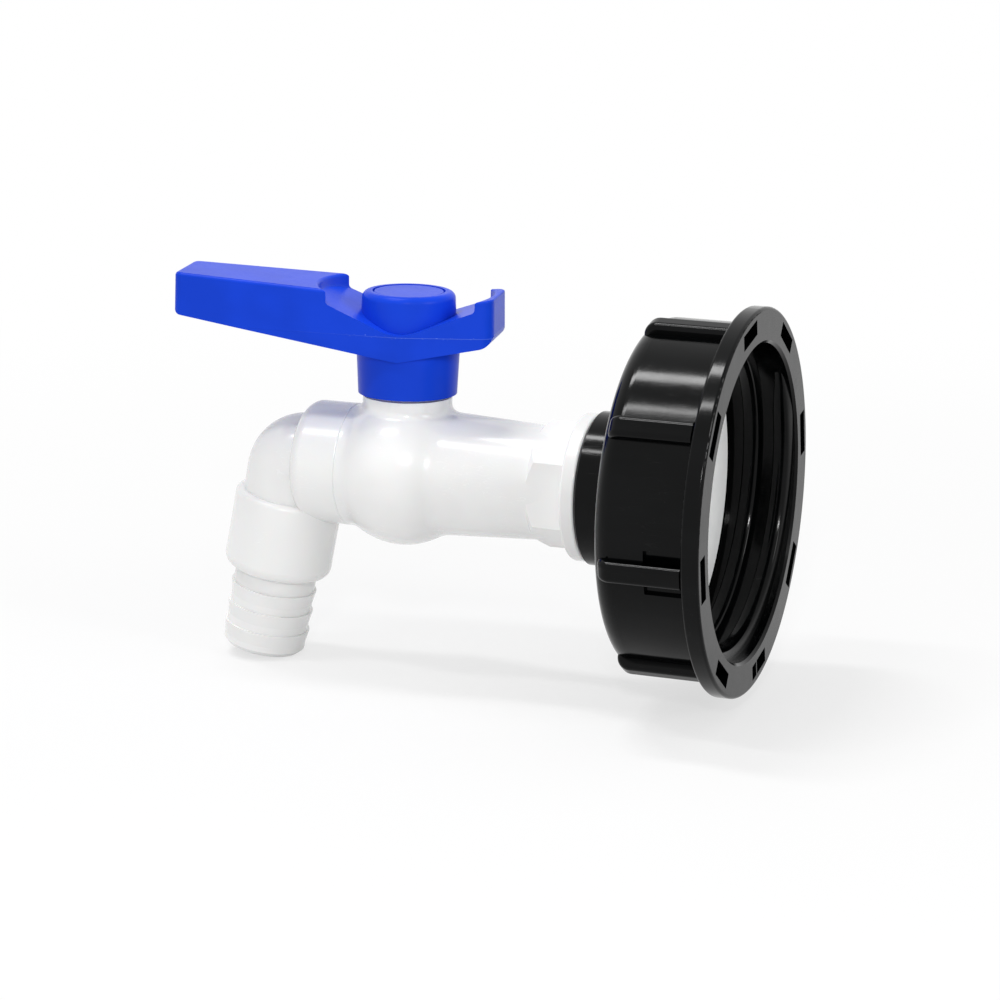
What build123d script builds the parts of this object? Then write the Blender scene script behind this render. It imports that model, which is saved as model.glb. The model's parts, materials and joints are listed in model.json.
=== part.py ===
from build123d import *
from math import cos, radians, sin, sqrt, tan
import os

# Tank tap with a swivelling S60x6 coupling nut, in millimetres.
# +X points into the tank, +Z along the lever's stem, and the origin is the centre of the gasket's
# sealing face. Radii end in _r, thicknesses in _t, widths in _w.

os.makedirs("parts", exist_ok=True)

# Clearances
running = 0.05
assembly = 0.03
axial_gap = 0.1
seat_gap = 0.1
slot_gap = 0.1

# Coupling nut
outlet_thread_r = 30.0
outlet_thread_depth = 2.0
mouth_x = 13.4
mouth_chamfer = 0.5
thread_start_x = 0.2
nut_wall = 3.4
nut_back_t = 2.5
nut_corner_r = 4.0
nut_flange_lip = 3.3
nut_flange_t = 4.0
nut_flange_slope = 0.7
nut_edge_r = 0.6
rib_count = 8
rib_first_angle = -12.0
rib_height = 1.9
rib_w = 4.2
rib_setback = 1.5
rib_sink = 0.8
rib_end_r = 2.6
rib_edge_r = 1.1
pocket_w = 8.7
pocket_radial = 2.9
pocket_floor_t = 0.6
pocket_edge_t = 0.2
rib_shell_t = 0.9
window_length = 7.3
lock_step_depth = 1.4
lock_step_w = 3.0
lock_wall_t = 0.4

# Gasket and adapter
gasket_t = 2.5
gasket_hole_r = 9.0
adapter_flange_t = 3.0
adapter_bore_r = 8.5
neck_r = 14.65
neck_clear_length = 9.5
neck_chamfer = 0.5
pipe_thread_r = 10.48
pipe_thread_length = 11.3
pipe_thread_chamfer = 0.8
pipe_thread_relief = 0.6
body_ring_section = 0.95

# Valve body
stop_flange_r = 14.1
stop_flange_t = 3.0
stop_flange_edge_r = 0.6
hex_flats = 21.5
hex_length = 7.7
hex_bevel = 1.6
neck_hex_r = 10.55
neck_ball_r = 11.9
neck_blend_r = 7.0
stem_offset = 38.6
housing_wall = 5.3
spigot_wall = 1.2
spigot_length = 5.6
outlet_land = 0.8
outlet_blend_r = 4.0
inlet_bore_r = 8.2
seat_bore_r = 6.8

# Ball, seats and retainer
ball_r = 9.0
port_r = 5.0
seat_near = 5.0
seat_length = 3.6
seat_lip = 0.2
seat_radial = 3.4
chamber_gap = 0.3
retainer_t = 1.8
retainer_bore_r = 6.4
retainer_slot_w = 2.0
retainer_slot_depth = 0.9

# Stem and bonnet
bonnet_r = 7.7
bonnet_foot_r = 8.6
bonnet_foot_z = 14.6
bonnet_top_z = 19.6
bonnet_blend_r = 1.8
stem_r = 4.5
tang_w = 4.0
tang_depth = 2.2
shoulder_lift = 0.6
shoulder_r = 6.2
shoulder_t = 1.8
stem_washer_t = 0.5
stem_ring_section = 0.75
stem_ring_pitch = 2.7
stem_ring_first = 2.0
square_w = 6.2
square_length = 5.6
lever_turn = 9.0
stop_lug_angle = 36.0
stop_slack = 1.0
stop_depth = 3.0
stop_radial = 1.3
stop_gap = 0.2
lug_sink = 0.5

# Spout elbow
collar_wall = 1.3
collar_floor_t = 4.4
collar_round_r = 3.0
seam_chamfer = 0.15
tube_r = 9.1
bend_r = 2.7
spout_offset = 23.1
spout_tilt = 10.0
spout_bore_r = 6.0
socket_step = 1.4
socket_start = 7.1
socket_length = 15.9
socket_top_r = 1.0
socket_round_r = 2.4
elbow_ring_section = 0.45

# Hose nozzle
nozzle_thread_r = 8.0
nozzle_engagement = 12.0
nozzle_ring_section = 0.75
nozzle_bore_r = 5.6
barb_root_r = 8.0
barb_tooth = 0.4
barb_slope = 2.6
barb_pitch = 4.1
barb_count = 3
barb_first = 3.1
barb_length = 15.9
barb_chamfer = 0.9

# Lever, measured from the stem's axis and drawn straight over the spout
skirt_r = 9.85
skirt_low_r = 9.5
skirt_bottom_z = 15.2
skirt_gap = 0.35
hub_r = 9.25
hub_top_r = 8.9
hub_top_z = 34.9
hub_round_r = 1.4
hub_floor_z = 27.0
hub_foot_drop = 1.0
hub_ledge_w = 1.0
boss_wall = 1.2
boss_gap = 0.6
web_t = 2.2
lever_reach = 44.5
lever_tip_half = 7.5
lever_hub_half = 11.0
lever_corner_r = 1.8
lever_parting_z = 27.5
lever_top_draft = 1.0
lever_low_draft = 5.0
lever_edge_r = 0.7
tail_edge_r = 0.35
lever_vertex_r = 4.0
lever_under_z = 22.7
grip_tip_z = 37.4
grip_hub_z = 35.6
grip_under_z = 29.4
grip_under_r = 1.5
saddle_r = 16.75
saddle_shift = 0.4
saddle_foot_r = 0.7
floor_low_z = 27.3
floor_bend_r = 9.0
floor_grip_rise = 7.035
floor_tail_rise = 6.1975
tail_wall = 1.35
tail_half = 7.4
tail_corner_r = 2.8
tail_ear_x = 13.0
tail_ear_z = 34.4
tail_end_z = 35.0
tail_under_z = 26.0
tail_under_r = 3.0
core_wall = 2.0
core_rib_t = 1.6
core_cells = 3

# Cap, screw and washer
cap_r = 6.95
cap_t = 1.8
cap_sink = 0.1
cap_chamfer = 0.4
cap_ring_t = 1.2
cap_ring_depth = 1.6
screw_r = 1.9
screw_length = 9.0
screw_head_r = 3.6
screw_head_t = 2.4
screw_head_round = 0.9
screw_slot_w = 1.1
screw_hole_spare = 0.4
washer_r = 4.4
washer_t = 0.8

# Stations on the tap's axis, counted from the gasket's face
adapter_face_x = -gasket_t
adapter_back_x = adapter_face_x - adapter_flange_t
nut_inner_x = adapter_back_x - axial_gap
nut_back_x = nut_inner_x - nut_back_t
nut_flange_x = mouth_x - nut_flange_t
neck_end_x = nut_back_x - neck_clear_length
pipe_thread_x = neck_end_x + pipe_thread_length
hex_start_x = neck_end_x - stop_flange_t
hex_end_x = hex_start_x - hex_length
stem_x = neck_end_x - stem_offset
seat_far = seat_near + seat_length
retainer_back_x = stem_x - seat_far - retainer_t
body_end_x = retainer_back_x - spigot_length
elbow_floor_x = body_end_x - axial_gap
collar_end_x = body_end_x - collar_floor_t
spout_x = stem_x - spout_offset

# Radii that follow from the ones above
nut_recess_r = outlet_thread_r - outlet_thread_depth + 0.3
adapter_flange_r = outlet_thread_r - outlet_thread_depth - 0.3
nut_skirt_r = outlet_thread_r + nut_wall
nut_flange_r = nut_skirt_r + nut_flange_lip
rib_r = nut_skirt_r + rib_height
pocket_mid_r = rib_r - pocket_edge_t - pocket_radial / 2
window_radial = pocket_radial + pocket_edge_t - rib_shell_t
window_mid_r = rib_r - rib_shell_t - window_radial / 2
seat_inner_r = port_r + seat_lip
seat_outer_r = seat_inner_r + seat_radial
chamber_r = ball_r + chamber_gap
housing_r = chamber_r + housing_wall
spigot_r = chamber_r + spigot_wall
collar_r = spigot_r + assembly + collar_wall
socket_r = tube_r + socket_step
ring_seat_r = pipe_thread_r + assembly + 2 * body_ring_section + running
skirt_bore_r = bonnet_r + skirt_gap
boss_r = square_w / sqrt(2) + boss_wall
cap_recess_r = cap_r + assembly
hub_bore_r = cap_r - hub_ledge_w

# Where the collar of the spout meets the body: past the blend of the ball housing
outlet_blend_reach = sqrt((housing_r + outlet_blend_r) ** 2 - (collar_r + outlet_blend_r) ** 2)
seam_x = stem_x - outlet_blend_reach - outlet_land

# Heights on the stem's axis
tang_low_z = ball_r - tang_depth
shoulder_low_z = ball_r + shoulder_lift
shoulder_top_z = shoulder_low_z + shoulder_t
stem_ceiling_z = shoulder_top_z + stem_washer_t + axial_gap
stem_shaft_top_z = bonnet_top_z + axial_gap
stem_top_z = stem_shaft_top_z + square_length
boss_low_z = bonnet_top_z + boss_gap
web_low_z = hub_floor_z - web_t
washer_top_z = hub_floor_z + washer_t
cap_low_z = hub_top_z - cap_sink - cap_t

# Lever's tail: its wall stands outside the saddle's circle
tail_reach = saddle_r - saddle_shift + tail_wall

# Stations along the spout, from where its axis leaves the tap's axis
socket_end = socket_start + socket_length
nozzle_floor = socket_end - nozzle_engagement
nozzle_top = nozzle_floor + 2 * nozzle_ring_section
nozzle_end = socket_end + barb_length

# Angles about the stem: the lever rests against its open stop, a little past straight, and swings
# clockwise until it stands square to the tap
stop_travel = 90 + lever_turn
stop_swing = stop_travel + stop_lug_angle + 2 * stop_slack
stop_start_angle = 90 - stop_swing / 2
lug_start_angle = stop_start_angle + stop_swing - stop_slack - stop_lug_angle

stem_axis = Axis((stem_x, 0, 0), (0, 0, 1))
spout_way = (-sin(radians(spout_tilt)), 0, -cos(radians(spout_tilt)))
spout_axis = Axis((spout_x, 0, 0), spout_way)
spout_side = Plane(origin=(spout_x, 0, 0), x_dir=spout_way, z_dir=(0, -1, 0))


def across(x):
    """Plane square to the tap's axis at station x, facing the tank."""
    return Plane.YZ.offset(x)


def across_spout(station):
    """Plane square to the spout at a station along it, facing its outlet."""
    point = [spout_way[i] * station for i in range(3)]
    return Plane(origin=(spout_x + point[0], 0, point[2]), z_dir=spout_way)


def on_stem(x, z):
    """Point of a section through the stem: x counts from the stem's axis."""
    return (stem_x + x, z)


def stem_side(angle):
    """Upright plane through the stem's axis, turned by an angle from the tap's axis."""
    turn = radians(angle)
    return Plane(origin=(stem_x, 0, 0), x_dir=(cos(turn), sin(turn), 0), z_dir=(sin(turn), -cos(turn), 0))


# Rib of the coupling nut, upright, to be turned into its places
with BuildPart() as rib:
    with BuildSketch(Plane.XZ) as rib_side:
        rib_root_r = nut_skirt_r - rib_sink
        rib_back_x = nut_back_x + rib_setback
        with BuildLine():
            Polyline(
                (nut_back_x + nut_corner_r, rib_root_r),
                (rib_back_x, rib_root_r - nut_corner_r / 2),
                (rib_back_x, rib_r),
                (nut_flange_x, rib_r),
                (nut_flange_x, rib_root_r),
                close=True,
            )
        make_face()
        fillet(rib_side.vertices().sort_by_distance((rib_back_x, rib_r))[0], rib_end_r)
    extrude(amount=rib_w / 2, both=True)
    fillet(rib.edges().filter_by(Axis.X).group_by(Axis.Z)[-1], rib_edge_r)

# Coupling nut: one turned profile, eight ribs, their core pockets, and the deep core of the first
# rib, which opens two windows through the skirt
with BuildPart() as tank_nut:
    with BuildSketch(Plane.XZ) as nut_profile:
        with BuildLine():
            Polyline(
                (nut_back_x, neck_r + running),
                (nut_back_x, nut_skirt_r),
                (nut_flange_x, nut_skirt_r),
                (nut_flange_x + nut_flange_slope, nut_flange_r),
                (mouth_x, nut_flange_r),
                (mouth_x, outlet_thread_r + mouth_chamfer),
                (mouth_x - mouth_chamfer, outlet_thread_r),
                (thread_start_x, outlet_thread_r),
                (thread_start_x, nut_recess_r),
                (nut_inner_x, nut_recess_r),
                (nut_inner_x, neck_r + running),
                close=True,
            )
        make_face()
        fillet(nut_profile.vertices().sort_by_distance((nut_back_x, nut_skirt_r))[0], nut_corner_r)
        fillet(nut_profile.vertices().group_by(Axis.Y)[-1], nut_edge_r)
    revolve(axis=Axis.X)
    for index in range(rib_count):
        rib_angle = rib_first_angle + index * 360 / rib_count
        add(rib.part, rotation=(90 - rib_angle, 0, 0))
    first_pocket = 180 - rib_first_angle
    lock_pocket = first_pocket + 90
    with BuildSketch(across(mouth_x)):
        with PolarLocations(pocket_mid_r, rib_count, start_angle=first_pocket):
            Rectangle(pocket_radial, pocket_w)
        with PolarLocations(pocket_mid_r, 1, start_angle=lock_pocket):
            with Locations((0, -(pocket_w - lock_step_w) / 2)):
                Rectangle(pocket_radial, lock_step_w, mode=Mode.SUBTRACT)
    extrude(amount=pocket_floor_t - nut_flange_t, mode=Mode.SUBTRACT)
    with BuildSketch(across(mouth_x)):
        with PolarLocations(pocket_mid_r, 1, start_angle=lock_pocket):
            with Locations((0, -(pocket_w - lock_step_w) / 2 - lock_wall_t / 2)):
                Rectangle(pocket_radial, lock_step_w - lock_wall_t)
    extrude(amount=-lock_step_depth, mode=Mode.SUBTRACT)
    with BuildSketch(across(mouth_x)):
        with PolarLocations(window_mid_r, 1, start_angle=first_pocket):
            Rectangle(window_radial, pocket_w)
    extrude(amount=-nut_flange_t - window_length, mode=Mode.SUBTRACT)
tank_nut.part.label = "tank_nut"
export_step(tank_nut.part, "parts/tank_nut.step")

# Flat gasket, at the bottom of the nut
with BuildPart() as tank_gasket:
    with BuildSketch(across(0)):
        Circle(adapter_flange_r)
        Circle(gasket_hole_r, mode=Mode.SUBTRACT)
    extrude(amount=-gasket_t)
tank_gasket.part.label = "tank_gasket"
export_step(tank_gasket.part, "parts/tank_gasket.step")

# Adapter: the flange that the nut pulls on, and the neck with the 1/2" female thread
with BuildPart() as tank_adapter:
    with BuildSketch(Plane.XZ) as adapter_profile:
        ring_floor_x = neck_end_x + 2 * body_ring_section
        thread_floor_x = pipe_thread_x + pipe_thread_relief
        with BuildLine():
            Polyline(
                (neck_end_x, ring_seat_r),
                (neck_end_x, neck_r),
                (adapter_back_x, neck_r),
                (adapter_back_x, adapter_flange_r),
                (adapter_face_x, adapter_flange_r),
                (adapter_face_x, adapter_bore_r),
                (thread_floor_x, adapter_bore_r),
                (thread_floor_x, pipe_thread_r + assembly),
                (ring_floor_x, pipe_thread_r + assembly),
                (ring_floor_x, ring_seat_r),
                close=True,
            )
        make_face()
        chamfer(adapter_profile.vertices().sort_by_distance((neck_end_x, neck_r))[0], neck_chamfer)
    revolve(axis=Axis.X)
tank_adapter.part.label = "tank_adapter"
export_step(tank_adapter.part, "parts/tank_adapter.step")

# Sealing ring at the root of the 1/2" thread
with BuildPart() as body_o_ring:
    with BuildSketch(Plane.XZ):
        with Locations((neck_end_x + body_ring_section, ring_seat_r - body_ring_section - assembly)):
            Circle(body_ring_section)
    revolve(axis=Axis.X)
body_o_ring.part.label = "body_o_ring"
export_step(body_o_ring.part, "parts/body_o_ring.step")

# Hexagon of the valve body, bevelled on the side of the neck
with BuildPart() as hexagon:
    with BuildSketch(across(hex_start_x)):
        RegularPolygon(hex_flats / 2, 6, major_radius=False, rotation=30)
    extrude(amount=-hex_length)
    with BuildSketch(Plane.XZ):
        corner_r = hex_flats / sqrt(3)
        with BuildLine():
            Polyline(
                (hex_start_x, 0),
                (hex_start_x, corner_r),
                (hex_end_x + hex_bevel, corner_r),
                (hex_end_x, corner_r - hex_bevel),
                (hex_end_x, 0),
                close=True,
            )
        make_face()
    revolve(axis=Axis.X, mode=Mode.INTERSECT)

# Valve body: pipe thread, stop flange, neck and ball housing in one profile, then hexagon, bonnet,
# ball chamber and the cut-out that stops the lever
with BuildPart() as valve_body:
    with BuildSketch(Plane.XZ) as body_profile:
        neck_meets = (stem_x + sqrt(housing_r**2 - neck_ball_r**2), neck_ball_r)
        outlet_meets = (stem_x - sqrt(housing_r**2 - collar_r**2), collar_r)
        with BuildLine():
            Polyline(
                (body_end_x, 0),
                (pipe_thread_x, 0),
                (pipe_thread_x, pipe_thread_r - pipe_thread_chamfer),
                (pipe_thread_x - pipe_thread_chamfer, pipe_thread_r),
                (neck_end_x, pipe_thread_r),
                (neck_end_x, stop_flange_r),
                (hex_start_x, stop_flange_r),
                (hex_start_x, neck_hex_r),
                neck_meets,
            )
            ThreePointArc(neck_meets, (stem_x, housing_r), outlet_meets)
            Polyline(
                outlet_meets,
                (seam_x, collar_r),
                (seam_x, spigot_r),
                (body_end_x, spigot_r),
                (body_end_x, 0),
            )
        make_face()
        fillet(body_profile.vertices().sort_by_distance(neck_meets)[0], neck_blend_r)
        fillet(body_profile.vertices().sort_by_distance(outlet_meets)[0], outlet_blend_r)
        fillet([v for v in body_profile.vertices() if v.Y > stop_flange_r - assembly], stop_flange_edge_r)
        chamfer(body_profile.vertices().sort_by_distance((seam_x, collar_r))[0], seam_chamfer)
    revolve(axis=Axis.X)
    with BuildSketch(Plane.XY):
        with Locations((stem_x, 0)):
            Circle(bonnet_foot_r)
    extrude(amount=bonnet_foot_z)
    foot_edges = valve_body.edges(Select.NEW).filter_by(GeomType.LINE, reverse=True)
    fillet(foot_edges.sort_by(Axis.Z)[:-1], bonnet_blend_r)
    with BuildSketch(Plane.XY.offset(bonnet_foot_z)):
        with Locations((stem_x, 0)):
            Circle(bonnet_r)
    extrude(amount=bonnet_top_z - bonnet_foot_z)
    add(hexagon.part)
    with BuildSketch(Plane.XZ):
        with BuildLine():
            Polyline(
                (pipe_thread_x, 0),
                (pipe_thread_x, inlet_bore_r),
                (stem_x + seat_far, seat_bore_r),
                (stem_x + seat_far, seat_outer_r + assembly),
                (stem_x + seat_near, seat_outer_r + assembly),
                (stem_x + seat_near, chamber_r),
                (body_end_x, chamber_r),
                (body_end_x, 0),
                close=True,
            )
        make_face()
    revolve(axis=Axis.X, mode=Mode.SUBTRACT)
    with BuildSketch(Plane.XY):
        with Locations((stem_x, 0)):
            Circle(shoulder_r + axial_gap)
    extrude(amount=stem_ceiling_z, mode=Mode.SUBTRACT)
    with BuildSketch(Plane.XY):
        with Locations((stem_x, 0)):
            Circle(stem_r + running)
    extrude(amount=bonnet_top_z, mode=Mode.SUBTRACT)
    with BuildSketch(stem_side(stop_start_angle)):
        with Locations((bonnet_r, bonnet_top_z)):
            Rectangle(2 * stop_radial, 2 * stop_depth)
    revolve(axis=stem_axis, revolution_arc=stop_swing, mode=Mode.SUBTRACT)
valve_body.part.label = "valve_body"
export_step(valve_body.part, "parts/valve_body.step")

# Ball with its port and the slot for the stem's tang
with BuildPart() as ball:
    with Locations((stem_x, 0, 0)):
        Sphere(ball_r)
    with BuildSketch(stem_side(90 + lever_turn)):
        Circle(port_r)
    extrude(amount=ball_r, both=True, mode=Mode.SUBTRACT)
    with BuildSketch(Plane.XY.offset(tang_low_z - 3 * slot_gap)):
        with Locations((stem_x, 0)):
            Rectangle(tang_w + 2 * slot_gap, 2 * ball_r, rotation=lever_turn)
    extrude(amount=ball_r, mode=Mode.SUBTRACT)
ball.part.label = "ball"
export_step(ball.part, "parts/ball.step")

# Seat on the tank side
with BuildPart() as inlet_seat:
    with BuildSketch(Plane.XZ) as seat_section:
        with Locations((stem_x + seat_near + seat_length / 2, seat_inner_r + seat_radial / 2)):
            Rectangle(seat_length, seat_radial)
        with Locations((stem_x, 0)):
            Circle(ball_r + seat_gap, mode=Mode.SUBTRACT)
    revolve(axis=Axis.X)
inlet_seat.part.label = "inlet_seat"
export_step(inlet_seat.part, "parts/inlet_seat.step")

# Seat on the outlet side, the same ring the other way round
with BuildPart() as outlet_seat:
    mirror(inlet_seat.part, about=across(stem_x))
outlet_seat.part.label = "outlet_seat"
export_step(outlet_seat.part, "parts/outlet_seat.step")

# Threaded cup that holds the outlet seat against the ball, with two slots for a pin wrench
with BuildPart() as seat_retainer:
    with BuildSketch(Plane.XZ):
        cup_r = chamber_r - assembly
        with BuildLine():
            Polyline(
                (stem_x - seat_near, cup_r),
                (retainer_back_x, cup_r),
                (retainer_back_x, retainer_bore_r),
                (stem_x - seat_far, retainer_bore_r),
                (stem_x - seat_far, seat_outer_r + assembly),
                (stem_x - seat_near, seat_outer_r + assembly),
                close=True,
            )
        make_face()
    revolve(axis=Axis.X)
    with BuildSketch(across(retainer_back_x)):
        Rectangle(2 * seat_outer_r, retainer_slot_w)
    extrude(amount=retainer_slot_depth, mode=Mode.SUBTRACT)
seat_retainer.part.label = "seat_retainer"
export_step(seat_retainer.part, "parts/seat_retainer.step")

# Stem: tang, shoulder, shaft with two ring grooves, square, and the hole for the lever's screw
stem_ring_zs = [stem_ceiling_z + stem_ring_first + i * stem_ring_pitch for i in range(2)]
stem_groove_r = stem_r - 2 * stem_ring_section
with BuildPart() as stem:
    with BuildSketch(Plane.XY.offset(tang_low_z)):
        with Locations((stem_x, 0)):
            Circle(stem_r)
            Rectangle(tang_w, 2 * stem_r, rotation=lever_turn, mode=Mode.INTERSECT)
    extrude(amount=shoulder_low_z - tang_low_z)
    with BuildSketch(Plane.XY.offset(shoulder_low_z)):
        with Locations((stem_x, 0)):
            Circle(shoulder_r)
    extrude(amount=shoulder_t)
    with BuildSketch(Plane.XY.offset(shoulder_top_z)):
        with Locations((stem_x, 0)):
            Circle(stem_r)
    extrude(amount=stem_shaft_top_z - shoulder_top_z)
    for groove_z in stem_ring_zs:
        with BuildSketch(Plane.XY.offset(groove_z - stem_ring_section - slot_gap)):
            with Locations((stem_x, 0)):
                Circle(stem_r)
                Circle(stem_groove_r, mode=Mode.SUBTRACT)
        extrude(amount=2 * (stem_ring_section + slot_gap), mode=Mode.SUBTRACT)
    with BuildSketch(Plane.XY.offset(stem_shaft_top_z)):
        with Locations((stem_x, 0)):
            Rectangle(square_w, square_w, rotation=lever_turn)
    extrude(amount=square_length)
    with BuildSketch(Plane.XY.offset(stem_top_z)):
        with Locations((stem_x, 0)):
            Circle(screw_r + assembly)
    extrude(amount=washer_top_z - screw_length - stem_top_z - screw_hole_spare, mode=Mode.SUBTRACT)
stem.part.label = "stem"
export_step(stem.part, "parts/stem.step")

# Thrust washer between the stem's shoulder and the body
with BuildPart() as stem_washer:
    with BuildSketch(Plane.XY.offset(shoulder_top_z)):
        with Locations((stem_x, 0)):
            Circle(shoulder_r)
            Circle(stem_r + assembly, mode=Mode.SUBTRACT)
    extrude(amount=stem_washer_t)
stem_washer.part.label = "stem_washer"
export_step(stem_washer.part, "parts/stem_washer.step")

# Two sealing rings in the stem's grooves
with BuildPart() as stem_o_rings:
    with BuildSketch(Plane.XZ):
        with Locations(*[on_stem(stem_groove_r + stem_ring_section, z) for z in stem_ring_zs]):
            Circle(stem_ring_section)
    revolve(axis=stem_axis)
stem_o_rings.part.label = "stem_o_rings"
export_step(stem_o_rings.part, "parts/stem_o_rings.step")

# Spout elbow: collar over the body's spigot, bend, tube and socket, with one bore through them
with BuildPart() as spout_elbow:
    elbow_ring_r = (chamber_r + spigot_r) / 2
    bend_x = spout_x + bend_r * tan(radians((90 - spout_tilt) / 2))
    with BuildSketch(Plane.XZ) as collar_section:
        with BuildLine():
            Polyline(
                (seam_x, 0),
                (seam_x, collar_r),
                (collar_end_x, collar_r),
                (collar_end_x, tube_r),
                (bend_x, tube_r),
                (bend_x, 0),
                close=True,
            )
        make_face()
        fillet(collar_section.vertices().sort_by_distance((collar_end_x, collar_r))[0],
               min(collar_round_r, 0.95 * (collar_r - tube_r)))
        chamfer(collar_section.vertices().sort_by_distance((seam_x, collar_r))[0], seam_chamfer)
    revolve(axis=Axis.X)
    with BuildSketch(across(bend_x)) as bend_section:
        Circle(tube_r)
        with Locations((0, -bend_r - tube_r)):
            Rectangle(2 * tube_r, 2 * tube_r, mode=Mode.SUBTRACT)
    bend_axis = Axis((bend_x, 0, -bend_r), (0, -1, 0))
    revolve(axis=bend_axis, revolution_arc=90 - spout_tilt)
    with BuildSketch(spout_side) as socket_section:
        tube_start = bend_r * tan(radians((90 - spout_tilt) / 2))
        with BuildLine():
            Polyline(
                (tube_start, 0),
                (tube_start, tube_r),
                (socket_start, tube_r),
                (socket_start, socket_r),
                (socket_end, socket_r),
                (socket_end, 0),
                close=True,
            )
        make_face()
        fillet(socket_section.vertices().sort_by_distance((socket_start, socket_r))[0], socket_top_r)
        fillet(socket_section.vertices().sort_by_distance((socket_end, socket_r))[0],
               min(socket_round_r, 0.95 * (socket_r - nozzle_thread_r)))
    revolve(axis=spout_axis)
    with BuildSketch(across(elbow_floor_x)):
        Circle(spigot_r + assembly)
    extrude(amount=seam_x - elbow_floor_x, mode=Mode.SUBTRACT)
    with BuildSketch(across(elbow_floor_x)):
        Circle(spout_bore_r)
    extrude(amount=spout_x - spout_bore_r / 2 - elbow_floor_x, mode=Mode.SUBTRACT)
    with BuildSketch(across_spout(-spout_bore_r / 2)):
        Circle(spout_bore_r)
    extrude(amount=socket_end + spout_bore_r / 2, mode=Mode.SUBTRACT)
    with BuildSketch(across_spout(nozzle_floor)):
        Circle(nozzle_thread_r + assembly)
    extrude(amount=nozzle_engagement, mode=Mode.SUBTRACT)
    with BuildSketch(Plane.XZ):
        with Locations((body_end_x - elbow_ring_section, elbow_ring_r)):
            Rectangle(2 * (elbow_ring_section + running), 2 * (elbow_ring_section + running))
    revolve(axis=Axis.X, mode=Mode.SUBTRACT)
spout_elbow.part.label = "spout_elbow"
export_step(spout_elbow.part, "parts/spout_elbow.step")

# Sealing ring between the body's spigot and the floor of the elbow's collar
with BuildPart() as elbow_o_ring:
    with BuildSketch(Plane.XZ):
        with Locations((body_end_x - elbow_ring_section, elbow_ring_r)):
            Circle(elbow_ring_section)
    revolve(axis=Axis.X)
elbow_o_ring.part.label = "elbow_o_ring"
export_step(elbow_o_ring.part, "parts/elbow_o_ring.step")

# Hose nozzle: threaded shank in the socket, then the barb, whose teeth face the socket
with BuildPart() as hose_nozzle:
    with BuildSketch(spout_side) as nozzle_section:
        tooth_starts = [socket_end + barb_first + i * barb_pitch for i in range(barb_count)]
        teeth = []
        for start in tooth_starts:
            teeth += [
                (start, barb_root_r),
                (start, barb_root_r + barb_tooth),
                (start + barb_slope, barb_root_r),
            ]
        with BuildLine():
            Polyline(
                (nozzle_top, nozzle_bore_r),
                (nozzle_top, nozzle_thread_r),
                (socket_end, nozzle_thread_r),
                *teeth,
                (nozzle_end, barb_root_r),
                (nozzle_end, nozzle_bore_r),
                close=True,
            )
        make_face()
        chamfer(nozzle_section.vertices().sort_by_distance((nozzle_end, barb_root_r))[0],
                barb_chamfer)
    revolve(axis=spout_axis)
hose_nozzle.part.label = "hose_nozzle"
export_step(hose_nozzle.part, "parts/hose_nozzle.step")

# Sealing ring between the nozzle and the floor of the socket
with BuildPart() as nozzle_o_ring:
    with BuildSketch(spout_side):
        ring_major_r = nozzle_thread_r - nozzle_ring_section - slot_gap
        with Locations((nozzle_floor + nozzle_ring_section, ring_major_r)):
            Circle(nozzle_ring_section)
    revolve(axis=spout_axis)
nozzle_o_ring.part.label = "nozzle_o_ring"
export_step(nozzle_o_ring.part, "parts/nozzle_o_ring.step")

# Saddle cut of the lever: a V floor inside the cylinder whose ends make the end wall of the grip
# and the inner wall of the tail
with BuildPart() as saddle:
    with BuildSketch(Plane.XZ) as saddle_side:
        low_point = on_stem(0, floor_low_z)
        with BuildLine():
            Polyline(
                on_stem(-2 * saddle_r, floor_low_z + 2 * floor_grip_rise),
                low_point,
                on_stem(2 * saddle_r, floor_low_z + 2 * floor_tail_rise),
                on_stem(2 * saddle_r, 2 * grip_tip_z),
                on_stem(-2 * saddle_r, 2 * grip_tip_z),
                close=True,
            )
        make_face()
        fillet(saddle_side.vertices().sort_by_distance(low_point)[0], floor_bend_r)
    extrude(amount=2 * lever_hub_half, both=True)
    with BuildSketch(Plane.XY):
        with Locations((stem_x - saddle_shift, 0)):
            Circle(saddle_r)
    extrude(amount=2 * grip_tip_z, mode=Mode.INTERSECT)
    fillet(saddle.faces().filter_by(GeomType.CYLINDER).sort_by(Axis.Z)[-1].edges().group_by(Axis.Z)[0],
           saddle_foot_r)

# Core of the grip, open below, with one rib along it and two across
with BuildPart() as grip_core:
    core_end = saddle_r + saddle_shift + core_wall
    core_length = lever_reach - core_wall - core_end
    core_taper = (lever_hub_half - lever_tip_half) / lever_reach
    with BuildSketch(Plane.XY) as core_plan:
        with BuildLine():
            tip_w = lever_tip_half - core_wall
            end_w = lever_hub_half - core_taper * core_end - core_wall
            Polyline(
                on_stem(-lever_reach + core_wall, -tip_w),
                on_stem(-core_end, -end_w),
                on_stem(-core_end, end_w),
                on_stem(-lever_reach + core_wall, tip_w),
                close=True,
            )
        make_face()
        fillet(core_plan.vertices(), core_rib_t / 2)
        with Locations((stem_x - core_end - core_length / 2, 0)):
            Rectangle(core_length, core_rib_t, mode=Mode.SUBTRACT)
            with GridLocations(core_length / core_cells, 0, core_cells - 1, 1):
                Rectangle(core_rib_t, 2 * end_w, mode=Mode.SUBTRACT)
    extrude(amount=grip_tip_z)
    with BuildSketch(Plane.XZ):
        with BuildLine():
            Polyline(
                on_stem(-lever_reach, 0),
                on_stem(-lever_reach, grip_tip_z - core_wall),
                on_stem(-saddle_r / 2, grip_hub_z - core_wall),
                on_stem(-saddle_r / 2, 0),
                close=True,
            )
        make_face()
    extrude(amount=lever_hub_half, both=True, mode=Mode.INTERSECT)

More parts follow.
